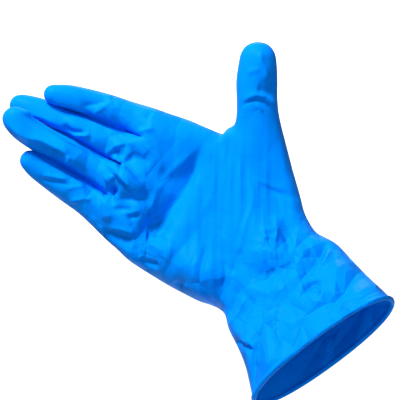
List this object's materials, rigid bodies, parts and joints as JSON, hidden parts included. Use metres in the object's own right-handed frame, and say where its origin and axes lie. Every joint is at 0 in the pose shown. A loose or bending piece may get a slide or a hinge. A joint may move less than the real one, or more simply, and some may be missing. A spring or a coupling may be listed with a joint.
{
  "type": "nitrile exam glove",
  "caption": "Thin dipped exam glove in its worn form, with the fingers side by side, the thumb raised and a flared, crumpled cuff that ends in a rolled bead.",
  "frame": {"origin": "centre of the cuff's opening, at the middle of its rolled bead", "axes": "+Z along the raised thumb, -X towards the fingertips, -Y out of the palm, +Y out of the back"},
  "size_m": [0.2228, 0.0752, 0.2057],
  "materials": {
    "nitrile_film": "satin"
  },
  "bodies": {
    "root": {"glove": "nitrile_film"}
  },
  "joints": []
}
